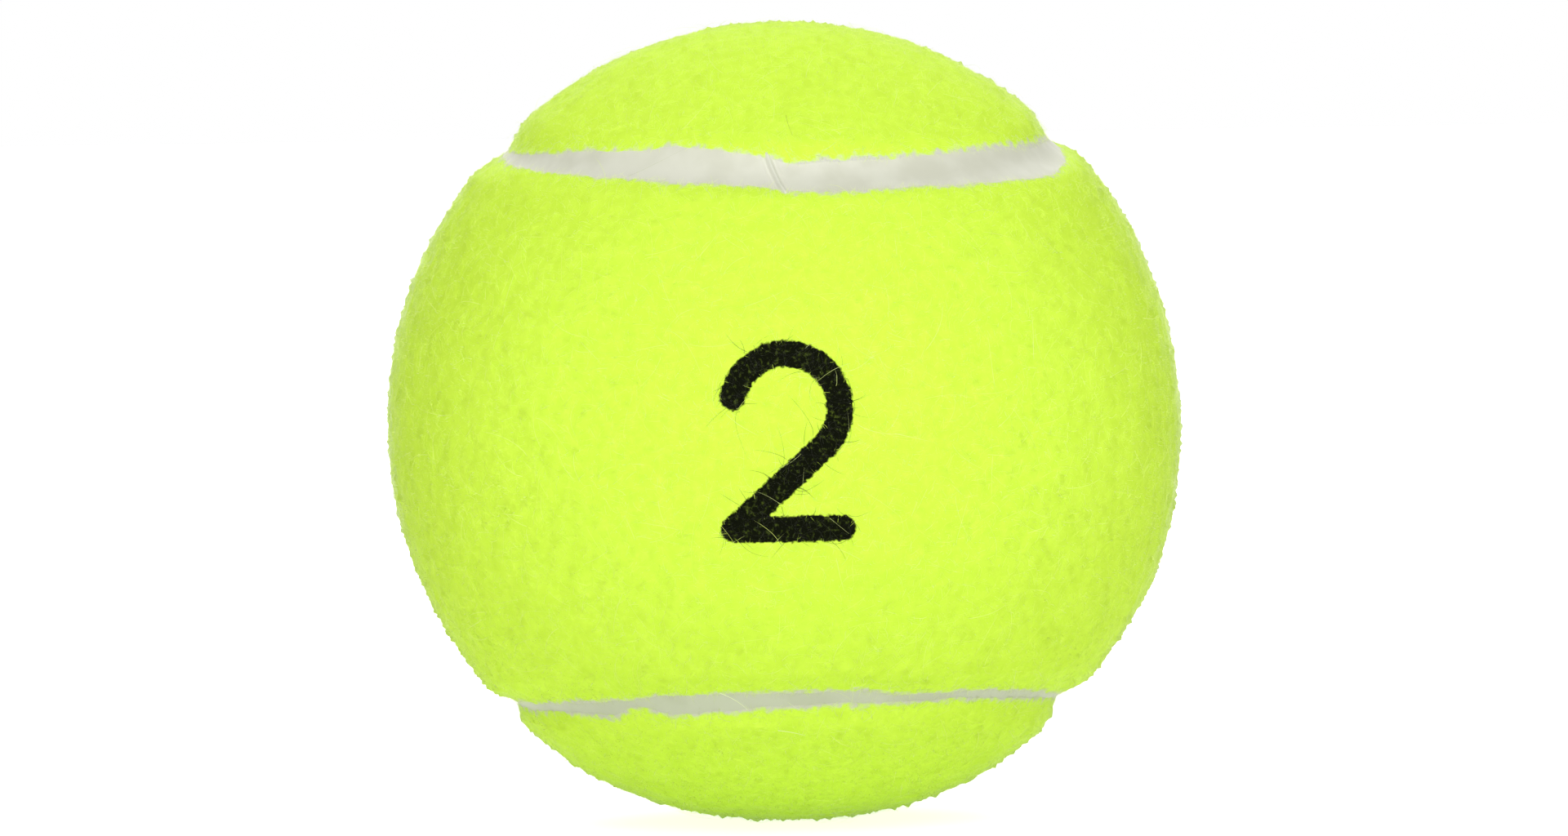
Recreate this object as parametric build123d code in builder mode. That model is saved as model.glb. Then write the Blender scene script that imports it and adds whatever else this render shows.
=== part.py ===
from build123d import *
import os
from math import acos, atan, cos, degrees, radians, sin, sqrt

# A pressurised tennis ball, in millimetres. The origin is the ball's centre and +Z is up.
# The waist of the front cover panel faces -Y, and the waist of the back panel faces +Y.

# Driving dimensions
ball_diameter = 67.0
felt_thickness = 2.9
backing_thickness = 0.25
cement_thickness = 0.15
core_wall = 3.3
core_joint_gap = 0.2
joint_bead_height = 0.45
waist_width = 47.5
seam_width = 3.0
seam_depth = 1.0
groove_radius = 5.0
shoulder_radius = 2.5
flash_rib_radius = 0.3
flash_rib_stand = 0.28
flash_rib_slant = 20.0
flash_rib_offset = 1.8

# Radii of the layers, from the outside in
ball_radius = ball_diameter / 2
felt_inner_radius = ball_radius - felt_thickness
cement_outer_radius = felt_inner_radius - backing_thickness
core_outer_radius = cement_outer_radius - cement_thickness
core_inner_radius = core_outer_radius - core_wall

# The seam is four arcs of circles on the ball, one round each end of each panel.
# The axis of each arc leans a little towards the waist beside it, so that the arcs meet smoothly.
waist_angle = waist_width / 2 / ball_radius
lean_angle = atan((sqrt(0.5) - sin(waist_angle)) / cos(waist_angle))
lobe_angle = acos(cos(lean_angle) * sqrt(0.5))
arc_sweep = 180 + 2 * degrees(atan(sin(lean_angle)))
upper_left = Vector(-sqrt(0.5), 0, sqrt(0.5))
lower_right = Vector(sqrt(0.5), 0, -sqrt(0.5))
top_axis = Vector(0, -sin(lean_angle), cos(lean_angle))
bottom_axis = Vector(0, -sin(lean_angle), -cos(lean_angle))
left_axis = Vector(-cos(lean_angle), sin(lean_angle), 0)
right_axis = Vector(cos(lean_angle), sin(lean_angle), 0)
seam_arcs = [
    (top_axis, upper_left),
    (bottom_axis, lower_right),
    (left_axis, upper_left),
    (right_axis, lower_right),
]

# Section of the seam: X across the seam, Y along the radius of the ball there
half_seam = seam_width / 2
gap_floor = core_inner_radius
seam_floor = sqrt(cement_outer_radius**2 - half_seam**2)
seam_middle = ball_radius - seam_depth
groove_centre = seam_middle + groove_radius
seam_edge = groove_centre - sqrt(groove_radius**2 - half_seam**2)

# Every sphere is turned so that the join line of its own surface runs down the middle of the back panel
sphere_turn = (0, 0, 90)


def section_plane(axis, start):
    """Plane of the seam's section at the first end of an arc."""
    across = axis - start * axis.dot(start)
    return Plane(origin=(0, 0, 0), x_dir=across, z_dir=across.cross(start))


# Core: two moulded half-shells that meet at the equator, a thin glue line apart
half_gap = core_joint_gap / 2
lip_inner = sqrt(core_inner_radius**2 - half_gap**2)
lip_outer = sqrt(core_outer_radius**2 - half_gap**2)
with BuildPart() as core_upper_half:
    with BuildSketch(Plane.XZ):
        with BuildLine():
            Line((lip_inner, half_gap), (lip_outer, half_gap))
            RadiusArc((lip_outer, half_gap), (0, core_outer_radius), -core_outer_radius)
            Line((0, core_outer_radius), (0, core_inner_radius))
            RadiusArc((0, core_inner_radius), (lip_inner, half_gap), core_inner_radius)
        make_face()
    revolve(axis=Axis.Z)
core_upper_half.part.label = "core_upper_half"

with BuildPart() as core_lower_half:
    mirror(core_upper_half.part, about=Plane.XY)
core_lower_half.part.label = "core_lower_half"

# Cured cement between the two lips, with the bead that squeezes out inside the core
bead_edge = sqrt(core_inner_radius**2 - joint_bead_height**2)
with BuildPart() as core_joint_cement:
    with BuildSketch(Plane.XZ):
        with BuildLine():
            Line((lip_outer, half_gap), (lip_inner, half_gap))
            RadiusArc((lip_inner, half_gap), (bead_edge, joint_bead_height), -core_inner_radius)
            ThreePointArc(
                (bead_edge, joint_bead_height),
                (bead_edge - joint_bead_height, 0),
                (bead_edge, -joint_bead_height),
            )
            RadiusArc((bead_edge, -joint_bead_height), (lip_inner, -half_gap), -core_inner_radius)
            Line((lip_inner, -half_gap), (lip_outer, -half_gap))
            RadiusArc((lip_outer, -half_gap), (lip_outer, half_gap), -core_outer_radius)
        make_face()
    revolve(axis=Axis.Z)
core_joint_cement.part.label = "core_joint_cement"

# Coat of rubber solution, cured over the whole core
with BuildPart() as core_cement_coat:
    Sphere(cement_outer_radius, rotation=sphere_turn)
    Sphere(core_outer_radius, rotation=sphere_turn, mode=Mode.SUBTRACT)
core_cement_coat.part.label = "core_cement_coat"

# Gap between the two panels: a slot cut square to the cloth, under a shallow round groove in the nap
with BuildPart() as panel_gap:
    for axis, start in seam_arcs:
        with BuildSketch(section_plane(axis, start)):
            with Locations((0, (gap_floor + groove_centre) / 2)):
                Rectangle(seam_width, groove_centre - gap_floor)
            with Locations((0, groove_centre)):
                Circle(groove_radius)
        revolve(axis=Axis((0, 0, 0), axis), revolution_arc=arc_sweep)

# Rubber back-coat of the cloth, which the gap parts into two dogbone panels
with BuildPart() as backing_layer:
    Sphere(felt_inner_radius, rotation=sphere_turn)
    Sphere(cement_outer_radius, rotation=sphere_turn, mode=Mode.SUBTRACT)
    add(panel_gap.part, mode=Mode.SUBTRACT)

with BuildPart() as front_panel_backing:
    add(backing_layer.solids().sort_by(Axis.Y)[0])
front_panel_backing.part.label = "front_panel_backing"

with BuildPart() as back_panel_backing:
    add(backing_layer.solids().sort_by(Axis.Y)[-1])
back_panel_backing.part.label = "back_panel_backing"

# Napped felt over the same two panels, rounded over into the groove
with BuildPart() as felt_layer:
    Sphere(ball_radius, rotation=sphere_turn)
    Sphere(felt_inner_radius, rotation=sphere_turn, mode=Mode.SUBTRACT)
    add(panel_gap.part, mode=Mode.SUBTRACT)
    outer_faces = felt_layer.faces().filter_by(GeomType.SPHERE).sort_by(SortBy.AREA)[-2:]
    fillet(outer_faces.edges().filter_by(GeomType.CIRCLE), shoulder_radius)

with BuildPart() as front_felt_panel:
    add(felt_layer.solids().sort_by(Axis.Y)[0])
front_felt_panel.part.label = "front_felt_panel"

with BuildPart() as back_felt_panel:
    add(felt_layer.solids().sort_by(Axis.Y)[-1])
back_felt_panel.part.label = "back_felt_panel"

# White seam rubber that fills the gap, and the moulding flash that crosses it at the front of the top arc
rib_turn = radians(flash_rib_slant)
rib_half_length = (half_seam - flash_rib_radius * sin(rib_turn)) / cos(rib_turn)
rib_normal = Vector(0, -cos(waist_angle), sin(waist_angle))
rib_across = Vector(0, sin(waist_angle), cos(waist_angle))
rib_along = Vector(-1, 0, 0)
rib_direction = rib_across * cos(rib_turn) + rib_along * sin(rib_turn)
rib_centre = (
    rib_normal * (seam_middle + flash_rib_stand - flash_rib_radius) + rib_along * flash_rib_offset
)
with BuildPart() as seam_rubber:
    for axis, start in seam_arcs:
        with BuildSketch(section_plane(axis, start)):
            with BuildLine():
                Line((-half_seam, seam_floor), (-half_seam, seam_edge))
                ThreePointArc((-half_seam, seam_edge), (0, seam_middle), (half_seam, seam_edge))
                Line((half_seam, seam_edge), (half_seam, seam_floor))
                ThreePointArc((half_seam, seam_floor), (0, cement_outer_radius), (-half_seam, seam_floor))
            make_face()
        revolve(axis=Axis((0, 0, 0), axis), revolution_arc=arc_sweep)
    with BuildSketch(Plane(origin=rib_centre, x_dir=rib_normal, z_dir=rib_direction)):
        Circle(flash_rib_radius)
    extrude(amount=rib_half_length, both=True)
seam_rubber.part.label = "seam_rubber"

os.makedirs("parts", exist_ok=True)
pieces = [
    core_upper_half,
    core_lower_half,
    core_joint_cement,
    core_cement_coat,
    front_panel_backing,
    back_panel_backing,
    front_felt_panel,
    back_felt_panel,
    seam_rubber,
]
for piece in pieces:
    export_step(piece.part, f"parts/{piece.part.label}.step")
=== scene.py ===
from itertools import combinations, product
from math import acos, atan, cos, pi, radians, sin, sqrt, tan
from types import SimpleNamespace as Values

import bpy
import numpy as np
from mathutils import Matrix, Vector


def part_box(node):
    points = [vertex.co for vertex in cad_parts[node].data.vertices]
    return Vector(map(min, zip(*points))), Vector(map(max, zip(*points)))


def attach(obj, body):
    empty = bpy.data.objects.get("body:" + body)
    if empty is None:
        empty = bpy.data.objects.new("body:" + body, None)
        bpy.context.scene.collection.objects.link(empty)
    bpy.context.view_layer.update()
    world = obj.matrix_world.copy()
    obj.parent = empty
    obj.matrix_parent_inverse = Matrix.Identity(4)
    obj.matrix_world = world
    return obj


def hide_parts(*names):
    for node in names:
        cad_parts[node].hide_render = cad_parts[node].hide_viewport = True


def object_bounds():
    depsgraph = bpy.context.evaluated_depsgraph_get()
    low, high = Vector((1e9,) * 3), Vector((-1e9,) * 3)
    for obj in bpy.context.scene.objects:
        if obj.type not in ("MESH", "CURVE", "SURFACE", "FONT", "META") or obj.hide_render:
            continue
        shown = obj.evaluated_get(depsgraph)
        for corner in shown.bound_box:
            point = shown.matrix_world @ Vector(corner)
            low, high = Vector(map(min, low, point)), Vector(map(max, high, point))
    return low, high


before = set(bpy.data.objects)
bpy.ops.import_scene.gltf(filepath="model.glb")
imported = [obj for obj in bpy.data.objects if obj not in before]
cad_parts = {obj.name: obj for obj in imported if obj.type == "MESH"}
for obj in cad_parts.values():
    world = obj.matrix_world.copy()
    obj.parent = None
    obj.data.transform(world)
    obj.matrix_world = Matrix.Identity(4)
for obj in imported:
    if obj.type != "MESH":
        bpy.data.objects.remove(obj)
cad_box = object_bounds()

# A tennis ball in metres: the origin is its centre, +Z is up and the front panel's waist faces -Y.
MM = 0.001

# Sizes shared with the solids
ball_radius = (cad_box[1][2] - cad_box[0][2]) / 2
felt_inner_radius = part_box("back_panel_backing")[1][2]
cement_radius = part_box("core_cement_coat")[1][2]
waist_width = 47.5 * MM
seam_width = 3.0 * MM
seam_depth = 1.0 * MM
groove_radius = 5.0 * MM
flash_rib_stand = 0.28 * MM
flash_rib_slant = radians(20.0)
flash_rib_offset = -1.8 * MM

# The seam's four arcs: an axis through each end of each panel, and the angle from it to the seam line
waist_angle = waist_width / 2 / ball_radius
lean_angle = atan((sqrt(0.5) - sin(waist_angle)) / cos(waist_angle))
lobe_angle = acos(cos(lean_angle) * sqrt(0.5))
arc_sweep = pi + 2 * atan(sin(lean_angle))
TOP, BOTTOM, LEFT, RIGHT = range(4)
lobe_axes = np.array([
    (0, -sin(lean_angle), cos(lean_angle)),
    (0, -sin(lean_angle), -cos(lean_angle)),
    (-cos(lean_angle), sin(lean_angle), 0),
    (cos(lean_angle), sin(lean_angle), 0),
])

# Felt: how far the nap's base lies below its tips, its peaks (mean, limit) and the few taller ones, the
# margin along the cut edge over which they die away, its lumps as (wavelength, height), how softly it rolls
# over into the groove, the fineness of its mesh, and how near to the cut edge a point of it snaps
nap_sink = 0.36 * MM
nap_peak, nap_peak_limit = 0.05 * MM, 0.36 * MM
tall_peak_share, tall_peak = 0.035, 0.22 * MM
nap_edge = 1.2 * MM
nap_lumps = [(9.0 * MM, 0.10 * MM), (2.2 * MM, 0.05 * MM), (1.1 * MM, 0.04 * MM)]
nap_seed = 20
shoulder_blend, groove_limit = 0.6 * MM, 0.98
felt_mesh_steps = 96
snap_share = 0.3

# Edges of the white seam along its two front arcs: (run from the arc's middle, distance from the seam line).
# All these tables are in millimetres.
top_front_edge = [
    (-39, 0.3), (-34, 0.5), (-30, 0.65), (-20, 0.65), (-14, 0.8), (-4, 1.2), (-1, 1.9), (3, 2.15), (10, 1.9),
    (16, 2.2), (25, 2.3), (30, 1.8), (34, 1.0), (39, 0.6),
]
top_cap_edge = [
    (-39, 0.3), (-34, 0.4), (-30, 0.6), (-25, 1.2), (-19, 1.75), (-14, 2.1), (-11, 2.65), (-6, 2.2),
    (-2, 1.65), (0, 1.0), (3, 1.25), (12, 1.3), (18, 1.45), (25, 1.0), (30, 0.7), (34, 0.5), (39, 0.4),
]
bottom_front_edge = [
    (-39, -0.1), (-34, -0.3), (-28, -0.4), (-20, -0.4), (-16, -0.2), (-13, 0.4), (-6, 0.5), (0, 0.35),
    (5, 0.6), (8, 0.0), (15, 0.35), (22, 0.1), (28, 0.05), (34, 0.0), (39, 0.1),
]
bottom_cap_edge = [
    (-39, 0.5), (-34, 0.8), (-28, 1.2), (-22, 1.35), (-18, 1.6), (-15, 0.8), (-12, 1.6), (-9, 1.55),
    (-4, 1.05), (0, 0.9), (4, 0.75), (8, 0.85), (13, 0.55), (22, 0.6), (28, 0.6), (34, 0.5), (39, 0.5),
]

# Past the front arcs the edges ease over this length into a plain seam that wavers slowly. All edges are
# ragged: (wavelength, size, seed)
edge_fade = 14 * MM
edge_rags = [(3.2, 0.14, 7), (1.3, 0.10, 5)]
back_waver = (9, 0.25, 3)

# How far the groove strays from the seam line towards the front panel, and how much narrower it is there than
# the plain groove: (run, distance) and (run, ratio)
top_stray = [(25, 0.0), (39, -0.85)]
bottom_stray = [(20, 0.0), (39, -0.7)]
top_squeeze = [(-39, 0.88), (-28, 1.0)]
bottom_squeeze = [(-39, 1.7), (-24, 1.0)]

# How far white rubber has soaked into the cap's felt along the top front arc: (run, distance)
top_cap_soak = [(6, 0.0), (14, 0.2), (24, 0.45), (34, 0.5), (38, 0.0)]

# Soft swells of the nap: middle (x, z) as shares of the radius, angle of spread, height
nap_swells = [
    ((0.0, 1.0), radians(40), 0.28 * MM),
    ((-0.45, -0.89), radians(20), 0.52 * MM),
    ((0.46, -0.89), radians(19), 0.72 * MM),
    ((0.92, -0.39), radians(15), 0.42 * MM),
    ((0.98, 0.20), radians(12), -0.10 * MM),
    ((0.83, 0.56), radians(10), 0.18 * MM),
]

# Loose hairs seen from the front: ends (x, z) as shares of the radius, sag, lift over the nap, radius, tone
stray_hairs = [
    ((-0.207, -0.632), (-0.128, -0.684), 0.003, 0.25 * MM, 0.040 * MM, 0.85),
    ((-0.062, -0.718), (0.010, -0.734), 0.002, 0.30 * MM, 0.034 * MM, 0.85),
    ((-0.040, -0.660), (0.050, -0.680), -0.012, 0.20 * MM, 0.014 * MM, 0.85),
    ((0.060, -0.630), (0.130, -0.672), 0.008, 0.20 * MM, 0.014 * MM, 0.80),
    ((-0.018, 0.782), (-0.002, 0.722), -0.003, 0.20 * MM, 0.016 * MM, 0.06),
    ((-0.414, 0.650), (-0.250, 0.714), 0.002, 0.04 * MM, 0.008 * MM, 0.06),
]

# Plain play number printed on the front panel: its middle on the panel (across, up), and its drawing
number_place = (-1.6 * MM, 0.0)
number_height = 16.5 * MM
number_width = 11.0 * MM
number_stroke = 2.2 * MM
bowl_start, bowl_end, bowl_steps = radians(168), radians(-48), 25
foot_overrun = 0.2 * MM

# Kinds of fibre, in millimetres. A fibre has some rings along its length. It bends sideways by a share of its
# length, rises over a part of a half wave, starts a little way down in the base, and may hang over the seam.
lying = Values(
    count=26000, rings=4, length=(0.5, 1.7), bend=0.6, wave=(0.08, 0.92), arch=(0.05, 0.18), sink=0.05,
    overhang=0.2, radius=(0.010, 0.018),
)
# The fuzz's tones are lifted paler from root to tip: partly the fibres' own pale tone, partly painted sheen
# that gives the ball a pale rim
fuzz = Values(
    count=46000, rings=3, length=(0.15, 0.38), bend=0.3, lean=(0.2, 1.1), sink=0.03, radius=(0.010, 0.016),
    uneven=0.4, clump=1.3, clump_seed=41, edge_length=0.4, root_lift=0.12, tip_lift=0.35,
)
fringe = Values(
    draws=260000, rings=4, margin=0.4, bend=0.4, wave=(0.1, 0.8), arch=(0.03, 0.10), sink=0.03, turn=0.7,
    overhang=0.22, longest=0.7, radius=(0.008, 0.015), coated_share=0.5, darkest=0.3,
)
wisps = Values(
    count=700, rings=7, length=(1.8, 4.5), bend=0.45, wave=(0.0, 0.75), arch=(0.2, 0.75), sink=0.05,
    overhang=0.5, radius=(0.012, 0.02), darkest=0.45,
)
hairs = Values(
    draws=60000, rings=7, bend=0.8, wave=(0.0, 0.8), arch=(0.1, 0.4), sink=0.02,
    black_count=110, black_length=(0.7, 2.4), black_radius=(0.012, 0.020), black_middle=-0.1, black_band=0.2,
    pale_count=14, pale_length=(1.5, 4.0), pale_radius=0.010, pale_band=0.6,
)

# Tones of a panel's fibres, the mean depth from the cut edge to which rubber coats them on the front and the
# back panel, the frayed edge of the ink and the share of clean fibres over it, the form of a fibre, and the
# zones in which a panel's fibres are parted
tone_spread = Values(middle=0.46, spread=0.14, cloud=0.06, cloud_size=6, cloud_seed=40)
coated_margin = {1: 0.25, -1: 0.45}
ink_fray, over_ink_share = 0.12, 0.006
fibre_taper, flatness, bake_margin = 0.6, 0.3, 0.05
zones = 4
fibre_seed = 20
pole_limit = 0.9

# Palette along which every fibre takes its tone, and colours of the felt and of the ink
INK_TONE, DARK_TONE, BRIGHT_TONE, PALE_AND_SHEEN_TONE, COATED_TONE = 0.03, 0.12, 0.80, 0.86, 0.95
FELT_DARK, FELT_BRIGHT = (0.57, 0.825, 0.058), (0.68, 0.93, 0.092)
INK, PALE_INK, WORN_INK = (0.003, 0.004, 0.001), (0.020, 0.026, 0.008), (0.060, 0.085, 0.012)
COATED = (0.74, 0.80, 0.52)
# Pale tip colour of the fuzz: partly the fibres' own pale tone, partly painted sheen for a pale rim
PALE_TIP_AND_SHEEN = (0.90, 0.96, 0.66)
RUBBER_WHITE = (0.58, 0.58, 0.52)
YELLOW_DARK, YELLOW, YELLOW_BRIGHT = (0.70, 0.95, 0.08), (0.80, 0.98, 0.15), (0.88, 0.99, 0.38)
YELLOW_TONE, FULLY_COATED_TONE = 0.45, 0.90

# Look of the felt: scales of its noises per metre, their shares and their widths
felt_look = Values(
    cloud_scale=900, cloud_share=0.6, strand_scale=1500, strand_share=0.4, strand_twist=1.5,
    ramp=(0.25, 0.75), bump=0.5, bump_height=0.12 * MM,
    wick_scale=1400, wick_waver=1.7 * MM, wick_edge=(0.38 * MM, -0.25 * MM),
    soak_scale=60, soak_range=(0.45, 0.65), soak_depth=0.25 * MM, fray_scale=2600, fray_width=0.5 * MM,
    ink_edge=(0.10 * MM, -0.10 * MM), wear_scale=3000, wear_range=(0.52, 0.78),
)

# White seam: its mesh, how it tucks in under the felt, its uneven face as (wavelength, height, seed), its
# flash rib, and the look of its rubber
strip = Values(
    step=0.16 * MM, columns=25, tuck=0.5 * MM, level=0.25 * MM, dip=0.8, sink=0.012 * MM,
    waves=[(2.6 * MM, 0.008 * MM, 60), (0.7 * MM, 0.003 * MM, 61)],
    rib_width=0.13 * MM, trough_depth=0.12 * MM, trough_away=0.38 * MM,
)
seam_look = Values(
    cloud_scale=260, cloud_range=(0.35, 0.65), dull=(0.555, 0.56, 0.455), white=(0.625, 0.63, 0.53),
    # Painted shade: a darker, felt-tinted colour mixed into the seam towards the bottom, where its groove
    # lies in shade
    under=(0.38, 0.42, 0.29), under_share=0.5, under_range=(10 * MM, -25 * MM),
    speck=(0.20, 0.19, 0.15), speck_scale=420, speck_size=(0.10, 0.03),
    rare_scale=120, rare_range=(0.56, 0.64),
)
inner_bump, inner_mottle = 0.05 * MM, (0.3, 0.7)

# Odd numbers that scatter the cells of the noise
CELL_MIX, SALT_MIX = (374761393, 668265263, 1442695041), 362437
FIRST_MIX, SECOND_MIX, LOW_BITS = 1274126177, 2246822519, 0xFFFFFFFF


def unit(vectors):
    return vectors / np.linalg.norm(vectors, axis=-1, keepdims=True)


def lattice_value(cells, salt):
    """A fixed random number from -1 to 1 for each lattice cell."""
    mixed = sum(cells[:, axis] * CELL_MIX[axis] for axis in range(3)) + salt * SALT_MIX
    mixed = (mixed ^ (mixed >> 13)) * FIRST_MIX & LOW_BITS
    mixed = (mixed ^ (mixed >> 16)) * SECOND_MIX & LOW_BITS
    return (mixed ^ (mixed >> 15)) / (LOW_BITS >> 1) - 1


def lumps(points, wavelength, salt):
    """Smooth noise from about -1 to 1, with lumps of that wavelength."""
    scaled = points * (2 / wavelength)
    cells = np.floor(scaled).astype(np.int64)
    part = scaled - cells
    ease = part * part * (3 - 2 * part)
    total = np.zeros(len(points))
    for corner in product((0, 1), repeat=3):
        weight = np.prod(np.where(corner, ease, 1 - ease), axis=1)
        total += weight * lattice_value(cells + corner, salt)
    return total


def seam_frame(directions):
    """Distance to the seam line (positive on the front panel), its nearest point, way to the front panel."""
    x, y, z = directions.T
    front = y + tan(lean_angle) * (np.abs(z) - np.abs(x)) < 0
    arc = np.where(front, np.where(z > 0, TOP, BOTTOM), np.where(x < 0, LEFT, RIGHT))
    axis = lobe_axes[arc]
    along = np.sum(directions * axis, axis=1, keepdims=True)
    outward = directions - along * axis
    reach = np.linalg.norm(outward, axis=1, keepdims=True)
    outward = outward / np.maximum(reach, 1e-9)
    angle = np.arctan2(reach, along)
    side = np.where(front, 1.0, -1.0)[:, None]
    distance = (ball_radius * (angle - lobe_angle) * side)[:, 0]
    nearest = cos(lobe_angle) * axis + sin(lobe_angle) * outward
    to_front = side * (np.cos(angle) * outward - np.sin(angle) * axis)
    return distance, nearest, to_front


def front_run(nearest):
    """Distance along the seam line from the middle of the front arc."""
    x, y, z = nearest.T
    return ball_radius * sin(lobe_angle) * np.arctan2(x, cos(lean_angle) * -y - sin(lean_angle) * np.abs(z))


def plain_share(nearest):
    """0 along the two front arcs, rising to 1 a little way along the two back arcs."""
    x, y, z = nearest.T
    back_turn = np.arctan2(z, cos(lean_angle) * y - sin(lean_angle) * np.abs(x))
    from_end = ball_radius * sin(lobe_angle) * (arc_sweep / 2 - np.abs(back_turn))
    front = y + tan(lean_angle) * (np.abs(z) - np.abs(x)) < 0
    share = np.where(front, 0, np.clip(from_end / edge_fade, 0, 1))
    return share * share * (3 - 2 * share)


def along_front(nearest, top, bottom):
    """Values given along the top and the bottom front arc, in metres."""
    run = front_run(nearest)
    return np.where(nearest[:, 2] > 0, np.interp(run, *knots(top)), np.interp(run, *knots(bottom)))


def groove_stray(nearest):
    """Distance from the seam line to the groove's own middle."""
    return along_front(nearest, top_stray, bottom_stray) * (1 - plain_share(nearest))


def groove_reach(distance, nearest):
    """Distance from the groove's own middle, as wide as the plain groove."""
    squeeze = along_front(nearest, top_squeeze, bottom_squeeze) / MM
    squeeze = squeeze + (1 - squeeze) * plain_share(nearest)
    return (distance - groove_stray(nearest)) * squeeze


def cut_edge(nearest, panel):
    """Distance from the seam line to a panel's ragged cut edge. panel is 1 for the front, -1 for the back."""
    if panel > 0:
        chosen = along_front(nearest, top_front_edge, bottom_front_edge)
    else:
        chosen = along_front(nearest, top_cap_edge, bottom_cap_edge)
    chosen = chosen + panel * groove_stray(nearest)
    plain = plain_share(nearest)
    place = nearest * ball_radius
    ragged = sum(size * lumps(place, wavelength * MM, seed + panel) for wavelength, size, seed in edge_rags)
    wavelength, size, seed = back_waver
    ragged += size * plain * lumps(place, wavelength * MM, seed + panel)
    return chosen + (seam_width / 2 - chosen) * plain + ragged * MM


def knots(points):
    """Given points in millimetres, as two rows in metres."""
    return np.array(points).T * MM


def icosphere(steps):
    """Unit sphere of 20 * steps * steps even triangles: its directions and its triangles."""
    golden = (1 + sqrt(5)) / 2
    corners = unit(np.array([
        (-1, golden, 0), (1, golden, 0), (-1, -golden, 0), (1, -golden, 0),
        (0, -1, golden), (0, 1, golden), (0, -1, -golden), (0, 1, -golden),
        (golden, 0, -1), (golden, 0, 1), (-golden, 0, -1), (-golden, 0, 1),
    ]))
    gaps = np.linalg.norm(corners[:, None] - corners[None], axis=2)
    near = gaps < 1.01 * gaps[gaps > 0].min()
    points, triangles, start = [], [], 0
    rows = [(i, j) for i in range(steps + 1) for j in range(steps + 1 - i)]
    index = {cell: n for n, cell in enumerate(rows)}
    grid = np.array([(steps - i - j, i, j) for i, j in rows]) / steps
    up = [(index[i, j], index[i + 1, j], index[i, j + 1]) for i, j in rows if i + j < steps]
    down = [(index[i + 1, j], index[i + 1, j + 1], index[i, j + 1]) for i, j in rows if i + j < steps - 1]
    pattern = np.array(up + down)
    for a, b, c in combinations(range(len(corners)), 3):
        if near[a, b] and near[b, c] and near[a, c]:
            trio = corners[[a, b, c]]
            if np.linalg.det(trio) < 0:
                trio = trio[[0, 2, 1]]
            points.append(unit(grid @ trio))
            triangles.append(pattern + start)
            start += len(rows)
    points, triangles = np.concatenate(points), np.concatenate(triangles)
    keys = np.round(points * 1e6).astype(np.int64)
    _, first, merged = np.unique(keys, axis=0, return_index=True, return_inverse=True)
    return points[first], merged.reshape(-1)[triangles]


def clip_to_panel(points, triangles, panel):
    """The sphere's triangles inside a panel, cut at its edge: directions, triangles, depth from the edge."""
    distance, nearest, to_front = seam_frame(points)
    inside = distance * panel - cut_edge(nearest, panel)
    spacing = ball_radius * np.linalg.norm(points[triangles[0, 0]] - points[triangles[0, 1]])
    close = np.abs(inside) < snap_share * spacing
    step = (-inside[close] * panel / ball_radius)[:, None]
    points = points.copy()
    points[close] = unit(points[close] + to_front[close] * step)
    inside[close] = 0
    keep = inside[triangles]
    whole = triangles[(keep >= 0).all(1) & (keep > 0).any(1)]
    mixed = triangles[(keep < 0).any(1) & (keep > 0).any(1)]
    edges = {}
    extra = []
    made = []

    def crossing(inner, outer):
        if inside[inner] == 0:
            return inner
        key = (inner, outer)
        if key not in edges:
            share = inside[inner] / (inside[inner] - inside[outer])
            extra.append(points[inner] * (1 - share) + points[outer] * share)
            edges[key] = len(points) + len(extra) - 1
        return edges[key]

    for trio in mixed.tolist():
        while not (inside[trio[0]] >= 0 and inside[trio[2]] < 0):
            trio = trio[1:] + trio[:1]
        a, b, c = trio
        if inside[b] < 0:
            made.append((a, crossing(a, b), crossing(a, c)))
        else:
            made.append((a, b, crossing(b, c)))
            made.append((a, crossing(b, c), crossing(a, c)))
    points = np.concatenate([points, unit(np.array(extra))])
    inside = np.concatenate([inside, np.zeros(len(extra))])
    made = np.array(made)
    made = made[(made[:, 0] != made[:, 1]) & (made[:, 1] != made[:, 2]) & (made[:, 0] != made[:, 2])]
    triangles = np.concatenate([whole, made])
    used, triangles = np.unique(triangles, return_inverse=True)
    return points[used], triangles.reshape(-1, 3), inside[used]


def rim_edges(triangles):
    """The edges that only one triangle uses, in that triangle's own sense."""
    edges = np.concatenate([triangles[:, [0, 1]], triangles[:, [1, 2]], triangles[:, [2, 0]]])
    _, first, count = np.unique(np.sort(edges, axis=1), axis=0, return_index=True, return_counts=True)
    return edges[first[count == 1]]


def new_piece(name, points, faces, node_material):
    """A smooth mesh object that rides on the ball. faces is a list of index arrays with 3 or 4 columns."""
    mesh = bpy.data.meshes.new(name)
    sizes = np.concatenate([np.full(len(block), block.shape[1]) for block in faces])
    loops = np.concatenate([block.reshape(-1) for block in faces])
    mesh.vertices.add(len(points))
    mesh.vertices.foreach_set("co", np.asarray(points, np.float32).reshape(-1))
    mesh.loops.add(len(loops))
    mesh.loops.foreach_set("vertex_index", loops.astype(np.int32))
    mesh.polygons.add(len(sizes))
    mesh.polygons.foreach_set("loop_start", (np.cumsum(sizes) - sizes).astype(np.int32))
    mesh.polygons.foreach_set("use_smooth", np.ones(len(sizes), bool))
    mesh.update(calc_edges=True)
    mesh.validate()
    mesh.materials.append(node_material)
    piece = bpy.data.objects.new(name, mesh)
    bpy.context.scene.collection.objects.link(piece)
    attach(piece, "root")
    return piece


def add_values(mesh, name, values):
    attribute = mesh.attributes.new(name, "FLOAT", "POINT")
    attribute.data.foreach_set("value", np.asarray(values, np.float32))


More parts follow.
